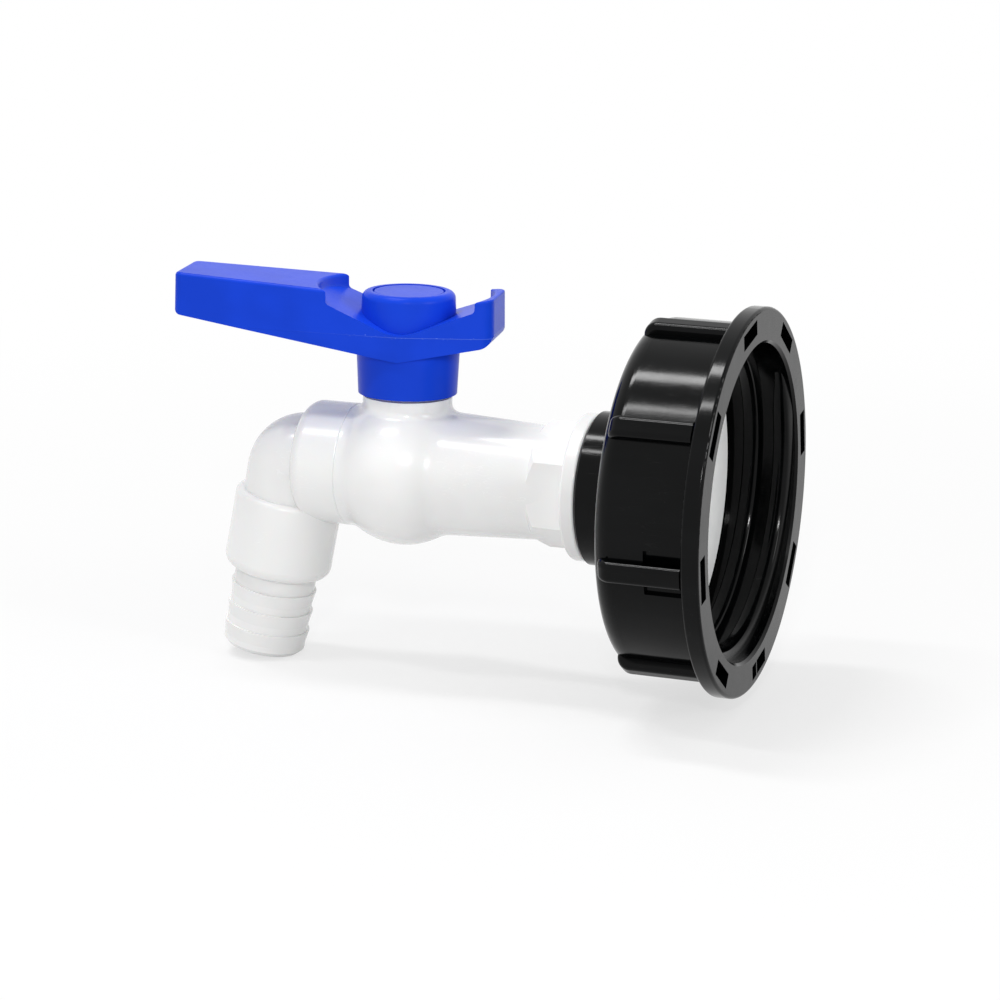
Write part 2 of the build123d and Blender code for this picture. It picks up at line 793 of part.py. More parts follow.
# Lever, straight: a plan outline drafted both ways from the parting line and trimmed to the side
# outline, the saddle, the hub and skirt turned about the stem, the boss for the square and the lug
with BuildPart() as lever:
    with BuildSketch(Plane.XY.offset(lever_parting_z)) as lever_plan:
        with BuildLine():
            Polyline(
                on_stem(-lever_reach, -lever_tip_half),
                on_stem(0, -lever_hub_half),
                on_stem(tail_reach, -tail_half),
                on_stem(tail_reach, tail_half),
                on_stem(0, lever_hub_half),
                on_stem(-lever_reach, lever_tip_half),
                close=True,
            )
        make_face()
        fillet(lever_plan.vertices().group_by(Axis.Y)[0], lever_vertex_r)
        fillet(lever_plan.vertices().group_by(Axis.Y)[-1], lever_vertex_r)
        fillet(lever_plan.vertices().group_by(Axis.X)[0], lever_corner_r)
        fillet(lever_plan.vertices().group_by(Axis.X)[-1], tail_corner_r)
    extrude(amount=grip_tip_z - lever_parting_z, taper=lever_top_draft)
    extrude(lever_plan.sketch, amount=lever_under_z - lever_parting_z, taper=lever_low_draft)
    with BuildSketch(Plane.XZ) as lever_side:
        tip_low = on_stem(-lever_reach, grip_under_z)
        tail_low = on_stem(tail_reach, tail_under_z)
        with BuildLine():
            Polyline(
                tip_low,
                on_stem(-lever_reach, grip_tip_z),
                on_stem(-saddle_r / 2, grip_hub_z),
                on_stem(0, grip_hub_z),
                on_stem(tail_ear_x, tail_ear_z),
                on_stem(tail_reach, tail_end_z),
                tail_low,
                on_stem(0, lever_under_z),
                close=True,
            )
        make_face()
        fillet(lever_side.vertices().sort_by_distance(tip_low)[0], grip_under_r)
        fillet(lever_side.vertices().sort_by_distance(tail_low)[0], tail_under_r)
    extrude(amount=2 * lever_hub_half, both=True, mode=Mode.INTERSECT)
    add(saddle.part, mode=Mode.SUBTRACT)
    top_faces = lever.faces().filter_by(lambda f: f.normal_at().Z > 0.9 and f.center().Z > tail_ear_z)
    fillet(top_faces.filter_by(lambda f: f.center().X < stem_x).edges(), lever_edge_r)
    top_faces = lever.faces().filter_by(lambda f: f.normal_at().Z > 0.9 and f.center().Z > tail_ear_z)
    fillet(top_faces.filter_by(lambda f: f.center().X > stem_x).edges(), tail_edge_r)
    add(grip_core.part, mode=Mode.SUBTRACT)
    with BuildSketch(Plane.XZ) as hub_section:
        with BuildLine():
            Polyline(
                on_stem(0, skirt_bottom_z),
                on_stem(skirt_low_r, skirt_bottom_z),
                on_stem(skirt_r, lever_under_z),
                on_stem(skirt_r, floor_low_z - hub_foot_drop),
                on_stem(hub_r, floor_low_z - hub_foot_drop),
                on_stem(hub_top_r, hub_top_z),
                on_stem(0, hub_top_z),
                close=True,
            )
        make_face()
        fillet(hub_section.vertices().sort_by_distance(on_stem(hub_top_r, hub_top_z))[0], hub_round_r)
    revolve(axis=stem_axis)
    with BuildSketch(Plane.XZ):
        with BuildLine():
            Polyline(
                on_stem(0, skirt_bottom_z),
                on_stem(skirt_bore_r, skirt_bottom_z),
                on_stem(skirt_bore_r, web_low_z),
                on_stem(boss_r, web_low_z),
                on_stem(boss_r, boss_low_z),
                on_stem(0, boss_low_z),
                close=True,
            )
        make_face()
    revolve(axis=stem_axis, mode=Mode.SUBTRACT)
    with BuildSketch(Plane.XZ):
        with BuildLine():
            Polyline(
                on_stem(0, hub_floor_z),
                on_stem(hub_bore_r, hub_floor_z),
                on_stem(hub_bore_r, cap_low_z),
                on_stem(cap_recess_r, cap_low_z),
                on_stem(cap_recess_r, hub_top_z),
                on_stem(0, hub_top_z),
                close=True,
            )
        make_face()
    revolve(axis=stem_axis, mode=Mode.SUBTRACT)
    with BuildSketch(Plane.XY.offset(boss_low_z)):
        with Locations((stem_x, 0)):
            Rectangle(square_w + 2 * assembly, square_w + 2 * assembly)
    extrude(amount=stem_top_z + axial_gap - boss_low_z, mode=Mode.SUBTRACT)
    with BuildSketch(Plane.XY.offset(boss_low_z)):
        with Locations((stem_x, 0)):
            Circle(screw_r + running)
    extrude(amount=hub_floor_z - boss_low_z, mode=Mode.SUBTRACT)
    with BuildSketch(stem_side(lug_start_angle - lever_turn)):
        lug_inner_r = bonnet_r - stop_radial + stop_gap
        lug_low_z = bonnet_top_z - stop_depth + stop_gap
        with Locations(((lug_inner_r + skirt_low_r) / 2, (lug_low_z + bonnet_top_z) / 2)):
            Rectangle(skirt_low_r - lug_inner_r - lug_sink, bonnet_top_z - lug_low_z)
    revolve(axis=stem_axis, revolution_arc=stop_lug_angle)

# The lever in its resting place, a little past straight
with BuildPart() as handle:
    add(lever.part.rotate(stem_axis, lever_turn))
handle.part.label = "handle"
export_step(handle.part, "parts/handle.step")

# Screw through the lever into the stem, with a cross recess
with BuildPart() as handle_screw:
    with BuildSketch(Plane.XZ) as screw_section:
        head_edge = on_stem(screw_head_r, washer_top_z + screw_head_t)
        with BuildLine():
            Polyline(
                on_stem(0, washer_top_z - screw_length),
                on_stem(screw_r, washer_top_z - screw_length),
                on_stem(screw_r, washer_top_z),
                on_stem(screw_head_r, washer_top_z),
                head_edge,
                on_stem(0, washer_top_z + screw_head_t),
                close=True,
            )
        make_face()
        fillet(screw_section.vertices().sort_by_distance(head_edge)[0], screw_head_round)
    revolve(axis=stem_axis)
    with BuildSketch(Plane.XY.offset(washer_top_z + screw_head_t)):
        with Locations((stem_x, 0)):
            Rectangle(screw_head_r, screw_slot_w)
            Rectangle(screw_slot_w, screw_head_r)
    extrude(amount=-screw_head_t / 2, mode=Mode.SUBTRACT)
handle_screw.part.label = "handle_screw"
export_step(handle_screw.part, "parts/handle_screw.step")

# Washer under the head of the screw
with BuildPart() as screw_washer:
    with BuildSketch(Plane.XY.offset(hub_floor_z)):
        with Locations((stem_x, 0)):
            Circle(washer_r)
            Circle(screw_r + running, mode=Mode.SUBTRACT)
    extrude(amount=washer_t)
screw_washer.part.label = "screw_washer"
export_step(screw_washer.part, "parts/screw_washer.step")

# Round cap over the screw, with a snap ring below
with BuildPart() as handle_cap:
    with BuildSketch(Plane.XY.offset(cap_low_z)):
        with Locations((stem_x, 0)):
            Circle(cap_r)
    extrude(amount=cap_t)
    chamfer(handle_cap.edges().group_by(Axis.Z)[-1], cap_chamfer)
    with BuildSketch(Plane.XY.offset(cap_low_z)):
        with Locations((stem_x, 0)):
            Circle(hub_bore_r - assembly)
            Circle(hub_bore_r - assembly - cap_ring_t, mode=Mode.SUBTRACT)
    extrude(amount=-cap_ring_depth)
handle_cap.part.label = "handle_cap"
export_step(handle_cap.part, "parts/handle_cap.step")
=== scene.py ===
"""Looks of a tank tap: coupling nut, valve body, lever and spout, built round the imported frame."""

from __future__ import annotations

import json
import logging
import math
from dataclasses import dataclass
from enum import Enum
from typing import Any, Iterable, Optional, Union

import bmesh
import bpy
from mathutils import Matrix, Vector

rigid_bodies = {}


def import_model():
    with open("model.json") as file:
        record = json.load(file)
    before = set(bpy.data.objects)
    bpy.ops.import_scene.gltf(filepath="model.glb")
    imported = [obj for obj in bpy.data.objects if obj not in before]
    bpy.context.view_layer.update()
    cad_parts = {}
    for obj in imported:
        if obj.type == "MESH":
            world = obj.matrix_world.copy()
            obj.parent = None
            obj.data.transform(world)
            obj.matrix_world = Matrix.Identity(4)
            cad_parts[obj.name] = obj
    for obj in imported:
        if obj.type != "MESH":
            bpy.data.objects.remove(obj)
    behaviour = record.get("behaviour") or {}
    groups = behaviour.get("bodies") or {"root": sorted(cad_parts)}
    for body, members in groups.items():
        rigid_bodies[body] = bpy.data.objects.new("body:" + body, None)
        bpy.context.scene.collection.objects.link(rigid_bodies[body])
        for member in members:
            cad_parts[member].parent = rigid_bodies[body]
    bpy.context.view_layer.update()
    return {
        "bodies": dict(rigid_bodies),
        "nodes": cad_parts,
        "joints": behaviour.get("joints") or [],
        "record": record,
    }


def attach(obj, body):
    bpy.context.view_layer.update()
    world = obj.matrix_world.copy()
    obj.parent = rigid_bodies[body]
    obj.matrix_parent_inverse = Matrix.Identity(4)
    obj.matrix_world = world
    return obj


LOG = logging.getLogger("tank_tap")
MM = 0.001

Colour = tuple[float, float, float]
Place = tuple[float, float, float]
Number = Union[int, float]
Socket = bpy.types.NodeSocket

WHITE: Colour = (1.0, 1.0, 1.0)


class Slot(Enum):
    """Material slots of the record; nothing in the script uses them."""

    BLACK_PLASTIC = "black_plastic"


class Body(Enum):
    """Rigid bodies of the tap that the added pieces ride on."""

    NUT = "nut"


class Output(Enum):
    """Nodes that end a node tree."""

    MATERIAL = "ShaderNodeOutputMaterial"
    WORLD = "ShaderNodeOutputWorld"


@dataclass(frozen=True)
class Span:
    """Range of a value, carried over to out_low at low and to out_high at high."""

    low: float
    high: float
    out_low: float = 0.0
    out_high: float = 1.0


UNIT = Span(0.0, 1.0)


@dataclass(frozen=True)
class Patches:
    """Soft random patches: size in millimetres, octaves of finer ones, closeness on each axis."""

    size: float
    detail: float = 2.0
    stretch: Place = (1.0, 1.0, 1.0)


@dataclass(frozen=True)
class Specks:
    """Round specks: cell size and radius in millimetres, and the share of cells that hold one."""

    spacing: float
    radius: float
    share: float
    core: float = 0.6


@dataclass(frozen=True)
class Scratches:
    """Fine straight rubbing marks: drawn out along the smallest stretch, width in millimetres."""

    stretch: Place
    width: float
    spacing: float = 14.0
    line: Span = Span(0.0, 0.012, 1.0, 0.0)
    rubbed: Patches = Patches(9.0)
    rubbed_span: Span = Span(0.5, 0.62)


class Signal:
    """A number that varies over a surface, for use in Python expressions."""

    def __init__(self, tree: "ShaderTree", socket: Socket) -> None:
        """Wraps a socket.

        Args:
            tree: The node tree that the socket belongs to.
            socket: The output that carries the number.
        """
        self.tree = tree
        self.socket = socket

    def _math(self, operation: str, *operands: "Operand") -> "Signal":
        """Adds one Math node and returns its result.

        Args:
            operation: The Math node's operation.
            operands: Its inputs, in order.

        Returns:
            The node's output.
        """
        inputs = dict(enumerate(operands))
        node = self.tree.node("ShaderNodeMath", {"operation": operation}, inputs)
        return Signal(self.tree, node.outputs[0])

    def __add__(self, other: "Operand") -> "Signal":
        """Sum."""
        return self._math("ADD", self, other)

    def __radd__(self, other: "Operand") -> "Signal":
        """Sum with a plain number on the left."""
        return self._math("ADD", other, self)

    def __sub__(self, other: "Operand") -> "Signal":
        """Difference."""
        return self._math("SUBTRACT", self, other)

    def __rsub__(self, other: "Operand") -> "Signal":
        """Difference with a plain number on the left."""
        return self._math("SUBTRACT", other, self)

    def __mul__(self, other: "Operand") -> "Signal":
        """Product."""
        return self._math("MULTIPLY", self, other)

    def __rmul__(self, other: "Operand") -> "Signal":
        """Product with a plain number on the left."""
        return self._math("MULTIPLY", other, self)

    def __abs__(self) -> "Signal":
        """Distance from nought."""
        return self._math("ABSOLUTE", self)

    def above(self, limit: "Operand") -> "Signal":
        """1 where the value is over the limit, else 0."""
        return self._math("GREATER_THAN", self, limit)

    def highest(self, other: "Operand") -> "Signal":
        """The larger of two values."""
        return self._math("MAXIMUM", self, other)

    def root(self) -> "Signal":
        """Square root."""
        return self._math("SQRT", self)

    def angle_to(self, other: "Operand") -> "Signal":
        """Angle of the point (other, self), in radians."""
        return self._math("ARCTAN2", self, other)

    def sine(self) -> "Signal":
        """Sine of an angle in radians."""
        return self._math("SINE", self)

    def between(self, span: Span) -> "Signal":
        """Carries one range smoothly over to another and holds the ends.

        Args:
            span: The two ranges.

        Returns:
            The carried value.
        """
        settings = {"interpolation_type": "SMOOTHSTEP", "clamp": True}
        inputs = {
            "Value": self,
            "From Min": span.low,
            "From Max": span.high,
            "To Min": span.out_low,
            "To Max": span.out_high,
        }
        node = self.tree.node("ShaderNodeMapRange", settings, inputs)
        return Signal(self.tree, node.outputs["Result"])


Operand = Union[Signal, Number]


class ShaderTree:
    """Node tree of one material or world."""

    def __init__(self, owner: Union[bpy.types.Material, bpy.types.World]) -> None:
        """Empties the owner's node tree.

        Args:
            owner: The material or world.
        """
        owner.use_nodes = True
        self.owner = owner
        self.tree = owner.node_tree
        self.tree.nodes.clear()

    @classmethod
    def material(cls, name: str) -> "ShaderTree":
        """Starts a material."""
        return cls(bpy.data.materials.new(name))

    @classmethod
    def world(cls, name: str) -> "ShaderTree":
        """Starts a world."""
        return cls(bpy.data.worlds.new(name))

    def node(
        self,
        kind: str,
        settings: Optional[dict[str, Any]] = None,
        inputs: Optional[dict[Any, Any]] = None,
    ) -> bpy.types.Node:
        """Adds one node.

        Args:
            kind: The node's type.
            settings: Properties, set first.
            inputs: Socket name or index to a value, a colour, a Signal or an output socket.

        Returns:
            The node.
        """
        made = self.tree.nodes.new(kind)
        for name, value in (settings or {}).items():
            setattr(made, name, value)
        for name, value in (inputs or {}).items():
            socket = self._input(made, name)
            if isinstance(value, Signal):
                self.tree.links.new(value.socket, socket)
            elif isinstance(value, bpy.types.NodeSocket):
                self.tree.links.new(value, socket)
            elif socket.type == "RGBA":
                socket.default_value = (*value, 1.0)
            else:
                socket.default_value = value
        return made

    @staticmethod
    def _input(node: bpy.types.Node, name: Union[str, int]) -> Socket:
        """Finds an input by name among the ones in use, or by index."""
        if isinstance(name, int):
            return node.inputs[name]
        return next(socket for socket in node.inputs if socket.name == name and socket.enabled)

    def place(self) -> Socket:
        """Where a point lies in the tap's frame at rest, in millimetres."""
        inputs = {0: self.node("ShaderNodeTexCoord").outputs["Object"], "Scale": 1 / MM}
        return self.node("ShaderNodeVectorMath", {"operation": "SCALE"}, inputs).outputs[0]

    def facing(self) -> Socket:
        """The surface's direction."""
        return self.node("ShaderNodeNewGeometry").outputs["Normal"]

    def parts(self, vector: Socket) -> tuple[Signal, Signal, Signal]:
        """The x, y and z of a vector."""
        split = self.node("ShaderNodeSeparateXYZ", None, {0: vector})
        return tuple(Signal(self, split.outputs[index]) for index in range(3))

    def noise(self, where: Socket, patches: Patches) -> Signal:
        """Adds soft random patches.

        Args:
            where: Point in millimetres.
            patches: Their size and shape.

        Returns:
            A value from 0 to 1, mostly near 0.5.
        """
        inputs = {0: where, 1: patches.stretch}
        scaled = self.node("ShaderNodeVectorMath", {"operation": "MULTIPLY"}, inputs)
        inputs = {
            "Vector": scaled.outputs[0],
            "Scale": 1 / patches.size,
            "Detail": patches.detail,
        }
        return Signal(self, self.node("ShaderNodeTexNoise", None, inputs).outputs[0])

    def specks(self, where: Socket, specks: Specks) -> Signal:
        """Adds scattered round specks.

        Args:
            where: Point in millimetres.
            specks: Their spacing and size.

        Returns:
            1 in a speck and 0 outside.
        """
        inputs = {"Vector": where, "Scale": 1 / specks.spacing}
        cells = self.node("ShaderNodeTexVoronoi", None, inputs)
        distance = Signal(self, cells.outputs["Distance"]) * specks.spacing
        tint = self.node("ShaderNodeSeparateColor", None, {0: cells.outputs["Color"]})
        chosen = Signal(self, tint.outputs[0]).above(1 - specks.share)
        edge = Span(specks.radius * specks.core, specks.radius, 1.0, 0.0)
        return distance.between(edge) * chosen

    def scratches(self, where: Socket, scratches: Scratches) -> Signal:
        """Adds fine straight rubbing marks.

        Args:
            where: Point in millimetres.
            scratches: Their direction and width.

        Returns:
            A value from 0 to 1, 1 in a mark.
        """
        size = scratches.width * scratches.spacing
        lines = self.noise(where, Patches(size, 1.0, scratches.stretch))
        worn = self.noise(where, scratches.rubbed)
        return abs(lines - 0.5).between(scratches.line) * worn.between(scratches.rubbed_span)

    def mix(self, share: Signal, first: Any, second: Any) -> Socket:
        """Mixes two colours.

        Args:
            share: How much of the second, from 0 to 1.
            first: Colour or socket.
            second: Colour or socket.

        Returns:
            The mixed colour.
        """
        inputs = {"Factor": share, "A": first, "B": second}
        return self.node("ShaderNodeMix", {"data_type": "RGBA"}, inputs).outputs["Result"]

    def relief(self, height: Signal, strength: Number) -> Socket:
        """Turns a height in millimetres into a bumped direction.

        Args:
            height: Height over the surface.
            strength: How much of it shows.

        Returns:
            The direction, for a shader's Normal.
        """
        inputs = {"Height": height, "Distance": MM, "Strength": strength}
        return self.node("ShaderNodeBump", None, inputs).outputs["Normal"]

    def backdrop_rays(self) -> Signal:
        """1 for the rays that show the backdrop: from the camera, mirrored and through glass."""
        ray = self.node("ShaderNodeLightPath").outputs
        seen = Signal(self, ray["Is Camera Ray"]).highest(Signal(self, ray["Is Glossy Ray"]))
        return seen.highest(Signal(self, ray["Is Transmission Ray"]))

    def end(self, kind: Output, surface: Socket) -> Union[bpy.types.Material, bpy.types.World]:
        """Ends the tree.

        Args:
            kind: The output node.
            surface: The shader that it shows.

        Returns:
            The material or world.
        """
        self.node(kind.value, None, {0: surface})
        return self.owner

    def finish(self, **inputs: Any) -> bpy.types.Material:
        """Ends the material with one Principled BSDF.

        Args:
            inputs: Socket names, with a space for each underscore, to values or links.

        Returns:
            The material.
        """
        named = {name.replace("_", " "): value for name, value in inputs.items()}
        shader = self.node("ShaderNodeBsdfPrincipled", None, named)
        return self.end(Output.MATERIAL, shader.outputs[0])


@dataclass(frozen=True)
class LeverBlue:
    """Glossy blue moulding of the lever and its cap, scuffed along the mould's parting line.

    Lengths are in millimetres. A tint is a share of the scuffed colour.
    """

    colour: Colour = (0.007, 0.052, 0.61)
    deep: Colour = (0.006, 0.046, 0.54)
    scuff: Colour = (0.26, 0.4, 0.9)
    cloud: Patches = Patches(14.0)
    cloud_span: Span = Span(0.35, 0.65)
    stem_x: float = -56.2
    side_span: Span = Span(0.35, 0.6, 1.0, 0.0)
    rim_span: Span = Span(10.2, 10.6)
    parting_z: float = 27.6
    wander: Patches = Patches(5.0)
    wander_depth: float = 0.12
    seam_span: Span = Span(0.02, 0.09, 1.0, 0.0)
    seam_tint: float = 0.3
    seam_height: float = 0.05
    grain: Patches = Patches(0.3, 3.0, (0.4, 1.0, 2.6))
    nick_span: Span = Span(0.66, 0.72)
    near_seam_span: Span = Span(0.05, 0.5, 1.0, 0.0)
    near_hub_span: Span = Span(18.0, 26.0, 1.0, 0.25)
    past_grip_span: Span = Span(-12.0, 3.0, 0.35, 1.0)
    nick_tint: float = 0.75
    nick_depth: float = 0.05
    dust: Specks = Specks(2.4, 0.09, 0.05)
    dust_tint: float = 0.3
    lint: Specks = Specks(5.5, 0.16, 0.05)
    lint_tint: float = 0.35
    streaks: Scratches = Scratches((0.12, 1.0, 1.0), 0.05)
    streak_tint: float = 0.06
    streak_depth: float = 0.003
    skin: Patches = Patches(0.9, 3.0)
    skin_height: float = 0.006
    waves: Patches = Patches(7.0, 1.0)
    wave_height: float = 0.05
    bump: float = 0.6
    roughness: float = 0.31
    skin_rough: float = 0.1
    worn_rough: float = 0.12
    ior: float = 1.49
    specular: float = 0.07

    def build(self) -> bpy.types.Material:
        """Makes the material.

        Returns:
            The material.
        """
        tree = ShaderTree.material("lever_blue")
        where = tree.place()
        x, y, z = tree.parts(where)
        from_stem = x - self.stem_x
        reach = (from_stem * from_stem + y * y).root()
        upright = abs(tree.parts(tree.facing())[2]).between(self.side_span)
        wall = upright * reach.between(self.rim_span)
        wander = (tree.noise(where, self.wander) - 0.5) * self.wander_depth
        off_seam = abs(z - self.parting_z - wander)
        seam = off_seam.between(self.seam_span) * wall
        near_seam = off_seam.between(self.near_seam_span) * wall
        near_hub = reach.between(self.near_hub_span) * from_stem.between(self.past_grip_span)
        nicks = tree.noise(where, self.grain).between(self.nick_span) * near_seam * near_hub
        dust = tree.specks(where, self.dust)
        lint = tree.specks(where, self.lint)
        streaks = tree.scratches(where, self.streaks)
        skin = tree.noise(where, self.skin)
        waves = tree.noise(where, self.waves)
        worn = nicks * self.nick_tint + dust * self.dust_tint + lint * self.lint_tint
        worn = worn + seam * near_hub * self.seam_tint + streaks * self.streak_tint
        worn = worn.between(UNIT)
        height = skin * self.skin_height + waves * self.wave_height + seam * self.seam_height
        height = height - nicks * self.nick_depth - streaks * self.streak_depth
        cloud = tree.noise(where, self.cloud).between(self.cloud_span)
        return tree.finish(
            Base_Color=tree.mix(worn, tree.mix(cloud, self.deep, self.colour), self.scuff),
            Roughness=self.roughness + (skin - 0.5) * self.skin_rough + worn * self.worn_rough,
            Normal=tree.relief(height, self.bump),
            IOR=self.ior,
            Specular_IOR_Level=self.specular,
        )


@dataclass(frozen=True)
class MouldedWhite:
    """Glossy white moulding of the valve body, spout and nozzle.

    Lengths are in millimetres, depth_m in metres. A tint is a share of the dirty colour.
    """

    name: str
    colour: Colour = (0.83, 0.83, 0.825)
    shade: Colour = (0.8, 0.8, 0.795)
    roughness: float = 0.22
    seam: bool = True
    dirt: Colour = (0.3, 0.29, 0.27)
    cloud: Patches = Patches(11.0)
    cloud_span: Span = Span(0.3, 0.7)
    cloud_rough: float = 0.08
    seam_wander: float = 0.1
    seam_span: Span = Span(0.04, 0.14, 1.0, 0.0)
    seam_tint: float = 0.07
    seam_height: float = 0.035
    dots: Specks = Specks(6.5, 0.13, 0.07)
    dot_tint: float = 0.55
    dust: Specks = Specks(2.2, 0.05, 0.04)
    dust_tint: float = 0.35
    streaks: Scratches = Scratches((0.15, 1.0, 0.8), 0.05)
    streak_tint: float = 0.06
    streak_depth: float = 0.003
    streak_rough: float = 0.15
    skin: Patches = Patches(0.7, 3.0)
    skin_height: float = 0.005
    skin_rough: float = 0.1
    waves: Patches = Patches(6.0, 1.0)
    wave_height: float = 0.045
    bump: float = 0.7
    ior: float = 1.5
    coat: float = 0.2
    coat_roughness: float = 0.08
    depth_share: float = 0.08
    depth_m: float = 0.002

    def build(self) -> bpy.types.Material:
        """Makes the material.

        Returns:
            The material.
        """
        tree = ShaderTree.material(self.name)
        where = tree.place()
        _, y, _ = tree.parts(where)
        cloud = tree.noise(where, self.cloud)
        skin = tree.noise(where, self.skin)
        waves = tree.noise(where, self.waves)
        dots = tree.specks(where, self.dots)
        dust = tree.specks(where, self.dust)
        streaks = tree.scratches(where, self.streaks)
        off_seam = abs(y + (waves - 0.5) * self.seam_wander)
        seam = off_seam.between(self.seam_span) * float(self.seam)
        dirty = dots * self.dot_tint + dust * self.dust_tint + seam * self.seam_tint
        dirty = (dirty + streaks * self.streak_tint).between(UNIT)
        height = skin * self.skin_height + waves * self.wave_height + seam * self.seam_height
        height = height - streaks * self.streak_depth
        rough = self.roughness + (skin - 0.5) * self.skin_rough + streaks * self.streak_rough
        base = tree.mix(cloud.between(self.cloud_span), self.shade, self.colour)
        return tree.finish(
            Base_Color=tree.mix(dirty, base, self.dirt),
            Roughness=rough + (cloud - 0.5) * self.cloud_rough,
            Normal=tree.relief(height, self.bump),
            IOR=self.ior,
            Coat_Weight=self.coat,
            Coat_Roughness=self.coat_roughness,
            Subsurface_Weight=self.depth_share,
            Subsurface_Scale=self.depth_m,
        )


@dataclass(frozen=True)
class NutBlack:
    """Satin black polypropylene of the coupling nut and adapter, with flow marks and dust.

    Lengths are in millimetres. A tint is a share of the dusty colour.
    """

    colour: Colour = (0.0006, 0.0008, 0.0009)
    bloom: Colour = (0.0016, 0.0018, 0.002)
    dusty: Colour = (0.12, 0.12, 0.115)
    flow: Patches = Patches(5.0, 2.0, (0.35, 1.0, 1.0))
    flow_span: Span = Span(0.4, 0.75)
    flow_rough: float = 0.1
    face_span: Span = Span(0.8, 0.95)
    face_rough: float = 0.08
    ring_turn: float = 9.0
    ring_sway: float = 2.0
    ring_height: float = 0.001
    sector_turn: float = 2.5
    sector_rough: float = 0.01
    motes: Specks = Specks(2.6, 0.1, 0.05)
    mote_tint: float = 0.5
    mote_height: float = 0.02
    lint: Specks = Specks(6.0, 0.2, 0.06)
    lint_tint: float = 0.35
    streaks: Scratches = Scratches((0.12, 1.0, 1.0), 0.06)
    streak_tint: float = 0.1
    streak_depth: float = 0.003
    skin: Patches = Patches(0.55, 3.0)
    skin_height: float = 0.003
    skin_rough: float = 0.06
    waves: Patches = Patches(3.2, 2.0, (0.4, 1.0, 1.0))
    wave_height: float = 0.018
    bump: float = 0.6
    roughness: float = 0.13
    soiled_rough: float = 0.2
    ior: float = 1.46
    specular: float = 0.145

    def build(self) -> bpy.types.Material:
        """Makes the material.

        Returns:
            The material.
        """
        tree = ShaderTree.material("nut_black")
        where = tree.place()
        _, y, z = tree.parts(where)
        flow = tree.noise(where, self.flow)
        skin = tree.noise(where, self.skin)
        waves = tree.noise(where, self.waves)
        face = abs(tree.parts(tree.facing())[0]).between(self.face_span)
        reach = (y * y + z * z).root()
        rings = (reach * self.ring_turn + flow * self.ring_sway).sine()
        sectors = (z.angle_to(y) * self.sector_turn).sine()
        motes = tree.specks(where, self.motes)
        lint = tree.specks(where, self.lint)
        streaks = tree.scratches(where, self.streaks)
        soiled = motes * self.mote_tint + lint * self.lint_tint + streaks * self.streak_tint
        soiled = soiled.between(UNIT)
        height = skin * self.skin_height + waves * self.wave_height
        height = height + rings * face * self.ring_height + motes * self.mote_height
        height = height - streaks * self.streak_depth
        rough = self.roughness + (skin - 0.5) * self.skin_rough + (flow - 0.5) * self.flow_rough
        rough = rough + soiled * self.soiled_rough + face * self.face_rough
        base = tree.mix(flow.between(self.flow_span), self.colour, self.bloom)
        return tree.finish(
            Base_Color=tree.mix(soiled, base, self.dusty),
            Roughness=rough + sectors * self.sector_rough,
            Normal=tree.relief(height, self.bump),
            IOR=self.ior,
            Specular_IOR_Level=self.specular,
        )


@dataclass(frozen=True)
class SoftSeal:
    """Rubber and seal rings, with sizes in millimetres."""

    name: str
    colour: Colour
    shade: Colour
    roughness: float
    dusty: Colour = (0.45, 0.45, 0.43)
    cloud: Patches = Patches(4.0, 3.0)
    cloud_span: Span = Span(0.35, 0.65)
    cloud_height: float = 0.04
    dust: Specks = Specks(1.8, 0.08, 0.06)
    dust_tint: float = 0.4
    skin: Patches = Patches(0.3, 3.0)
    skin_height: float = 0.02
    skin_rough: float = 0.15
    bump: float = 0.8
    ior: float = 1.45

    def build(self) -> bpy.types.Material:
        """Makes the material.

        Returns:
            The material.
        """
        tree = ShaderTree.material(self.name)
        where = tree.place()
        cloud = tree.noise(where, self.cloud)
        skin = tree.noise(where, self.skin)
        dust = tree.specks(where, self.dust)
        colour = tree.mix(cloud.between(self.cloud_span), self.shade, self.colour)
        height = skin * self.skin_height + cloud * self.cloud_height
        return tree.finish(
            Base_Color=tree.mix(dust * self.dust_tint, colour, self.dusty),
            Roughness=self.roughness + (skin - 0.5) * self.skin_rough,
            Normal=tree.relief(height, self.bump),
            IOR=self.ior,
        )


@dataclass(frozen=True)
class TurnedSteel:
    """Stainless screw and washer, with sizes in millimetres."""

    colour: Colour = (0.56, 0.56, 0.55)
    dull: Colour = (0.42, 0.42, 0.43)
    centre_x: float = -56.2
    ring_turn: float = 40.0
    ring_height: float = 0.002
    cloud: Patches = Patches(1.5, 3.0)
    cloud_span: Span = Span(0.35, 0.7)
    cloud_height: float = 0.01
    cloud_rough: float = 0.2
    bump: float = 0.6
    roughness: float = 0.32

    def build(self) -> bpy.types.Material:
        """Makes the material.

        Returns:
            The material.
        """
        tree = ShaderTree.material("turned_steel")
        where = tree.place()
        x, y, _ = tree.parts(where)
        across = x - self.centre_x
        rings = ((across * across + y * y).root() * self.ring_turn).sine()
        cloud = tree.noise(where, self.cloud)
        height = rings * self.ring_height + cloud * self.cloud_height
        return tree.finish(
            Base_Color=tree.mix(cloud.between(self.cloud_span), self.colour, self.dull),
            Metallic=1.0,
            Roughness=self.roughness + (cloud - 0.5) * self.cloud_rough,
            Normal=tree.relief(height, self.bump),
        )


